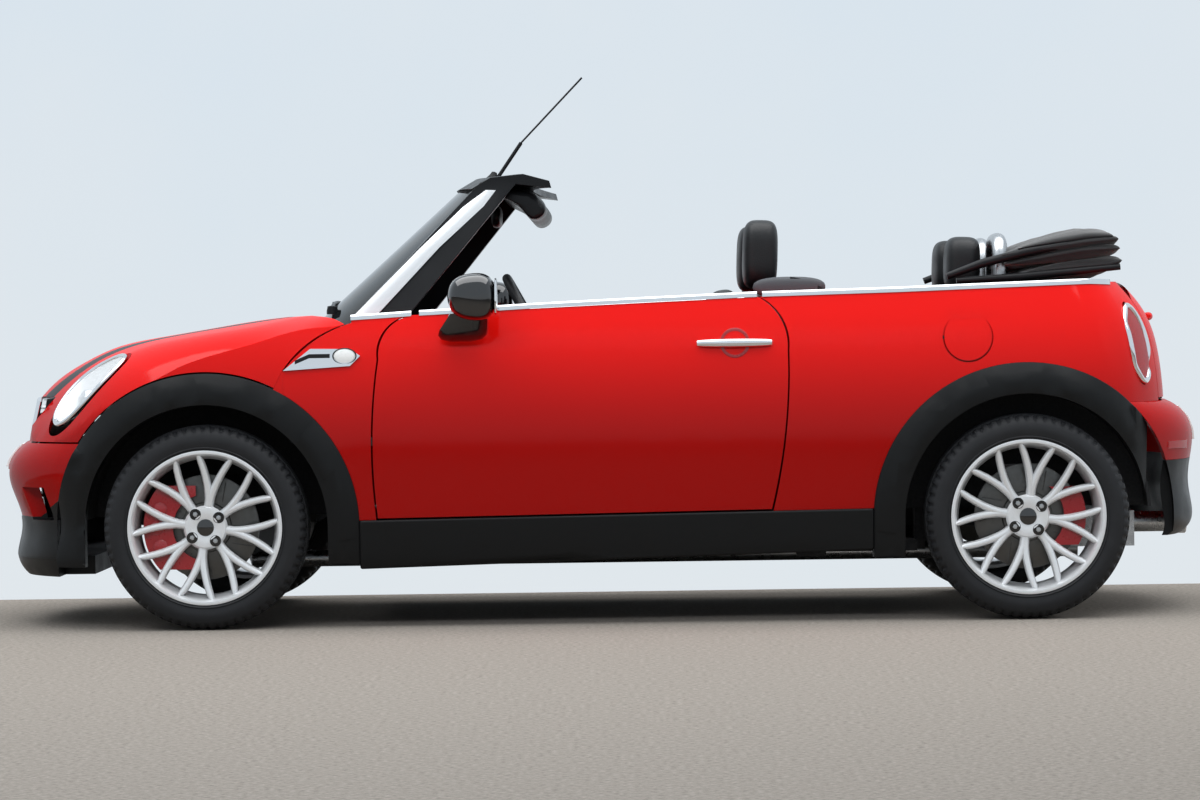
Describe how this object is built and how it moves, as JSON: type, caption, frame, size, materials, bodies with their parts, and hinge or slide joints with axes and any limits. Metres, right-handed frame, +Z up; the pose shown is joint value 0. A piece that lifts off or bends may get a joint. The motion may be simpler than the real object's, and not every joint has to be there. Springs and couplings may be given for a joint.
{
  "type": "convertible car",
  "caption": "Small two-door convertible car with its fabric top folded, steered front wheels, opening doors, bonnet, boot lid and fuel flap.",
  "frame": {"origin": "on the ground, at the middle of the overall length and width", "axes": "+X towards the nose, +Y to the car's left, +Z up"},
  "size_m": [3.7303, 1.99, 1.6911],
  "materials": {
    "red_paint": "gloss",
    "black_trim": "satin",
    "under_body": "satin",
    "cast_parts": "rough",
    "steel": "satin",
    "chrome": "polished",
    "lamp_glass": "clear",
    "tail_glass": "clear",
    "screen_glass": "clear",
    "interior_plastic": "satin",
    "seat_leather": "soft",
    "roll_bar": "polished",
    "soft_top_fabric": "woven",
    "buffer_rubber": "matt",
    "caliper_paint": "gloss",
    "wheel_alloy": "painted silver",
    "tyre_rubber": "matt"
  },
  "bodies": {
    "body": {"antenna": "black_trim", "arch_trims_front": "black_trim", "arch_trims_rear": "black_trim", "belt_strips": "chrome", "bonnet_buffers": "buffer_rubber", "calipers_rear": "caliper_paint", "dashboard": "interior_plastic", "engine_block": "cast_parts", "exhaust": "steel", "firewall": "under_body", "floor_pan": "under_body", "front_bumper": "red_paint", "front_rails": "under_body", "front_seats": "seat_leather", "front_valance": "black_trim", "grille": "black_trim", "headlamps": "lamp_glass", "hinge_pins": "under_body", "quarter_panels": "red_paint", "rear_bench": "seat_leather", "rear_bumper": "red_paint", "rear_deck": "under_body", "rear_valance": "black_trim", "rollover_bars": "roll_bar", "scuttle": "black_trim", "scuttle_panels": "red_paint", "side_lamps": "chrome", "side_trims": "black_trim", "sills": "black_trim", "soft_top": "soft_top_fabric", "subframes": "cast_parts", "tail_lamps": "tail_glass", "wheelhouses": "black_trim", "windscreen": "screen_glass", "windscreen_frame": "black_trim"},
    "bonnet": {"bonnet": "red_paint"},
    "door_left": {"door_left": "red_paint", "door_fittings_left": "interior_plastic"},
    "door_right": {"door_right": "red_paint", "door_fittings_right": "interior_plastic"},
    "tailgate": {"tailgate": "red_paint"},
    "fuel_flap": {"fuel_flap": "red_paint"},
    "steering_wheel": {"steering_wheel": "interior_plastic"},
    "knuckle_left": {"knuckle_left": "cast_parts", "caliper_front_left": "caliper_paint"},
    "knuckle_right": {"knuckle_right": "cast_parts", "caliper_front_right": "caliper_paint"},
    "wheel_front_left": {"rim_front_left": "wheel_alloy", "tyre_front_left": "tyre_rubber"},
    "wheel_front_right": {"rim_front_right": "wheel_alloy", "tyre_front_right": "tyre_rubber"},
    "wheel_rear_left": {"rim_rear_left": "wheel_alloy", "tyre_rear_left": "tyre_rubber"},
    "wheel_rear_right": {"rim_rear_right": "wheel_alloy", "tyre_rear_right": "tyre_rubber"}
  },
  "joints": [
    {"name": "steer_left", "type": "hinge", "parent": "body", "child": "knuckle_left", "pos_m": [1.181, 0.6545, 0.308], "axis": [0, 0, 1], "range_deg": [-35, 35]},
    {"name": "steer_right", "type": "hinge", "parent": "body", "child": "knuckle_right", "pos_m": [1.181, -0.6545, 0.308], "axis": [0, 0, 1], "range_deg": [-35, 35]},
    {"name": "steering_wheel_turn", "type": "hinge", "parent": "body", "child": "steering_wheel", "pos_m": [0.197, 0.37, 0.897], "axis": [-0.8829, 0, 0.4695], "range_deg": [-490, 490]},
    {"name": "door_left_swing", "type": "hinge", "parent": "body", "child": "door_left", "pos_m": [0.6775, 0.816, 0.56], "axis": [0, 0, -1], "range_deg": [0, 70]},
    {"name": "door_right_swing", "type": "hinge", "parent": "body", "child": "door_right", "pos_m": [0.6775, -0.816, 0.56], "axis": [0, 0, 1], "range_deg": [0, 70]},
    {"name": "bonnet_lift", "type": "hinge", "parent": "body", "child": "bonnet", "pos_m": [0.738, 0, 0.96], "axis": [0, -1, 0], "range_deg": [0, 50]},
    {"name": "tailgate_drop", "type": "hinge", "parent": "body", "child": "tailgate", "pos_m": [-1.773, 0, 0.65], "axis": [0, -1, 0], "range_deg": [0, 90]},
    {"name": "fuel_flap_swing", "type": "hinge", "parent": "body", "child": "fuel_flap", "pos_m": [-1.0405, 0.792, 0.848], "axis": [0, 0, -1], "range_deg": [0, 100]},
    {"name": "spin_front_left", "type": "hinge", "parent": "knuckle_left", "child": "wheel_front_left", "pos_m": [1.181, 0.7295, 0.308], "axis": [0, 1, 0], "continuous": true},
    {"name": "spin_front_right", "type": "hinge", "parent": "knuckle_right", "child": "wheel_front_right", "pos_m": [1.181, -0.7295, 0.308], "axis": [0, 1, 0], "continuous": true},
    {"name": "spin_rear_left", "type": "hinge", "parent": "body", "child": "wheel_rear_left", "pos_m": [-1.286, 0.7335, 0.308], "axis": [0, 1, 0], "continuous": true},
    {"name": "spin_rear_right", "type": "hinge", "parent": "body", "child": "wheel_rear_right", "pos_m": [-1.286, -0.7335, 0.308], "axis": [0, 1, 0], "continuous": true}
  ],
  "couplings": [
    {"joint": "steer_right", "follows": "steer_left", "ratio": 1},
    {"joint": "steering_wheel_turn", "follows": "steer_left", "ratio": 14}
  ]
}
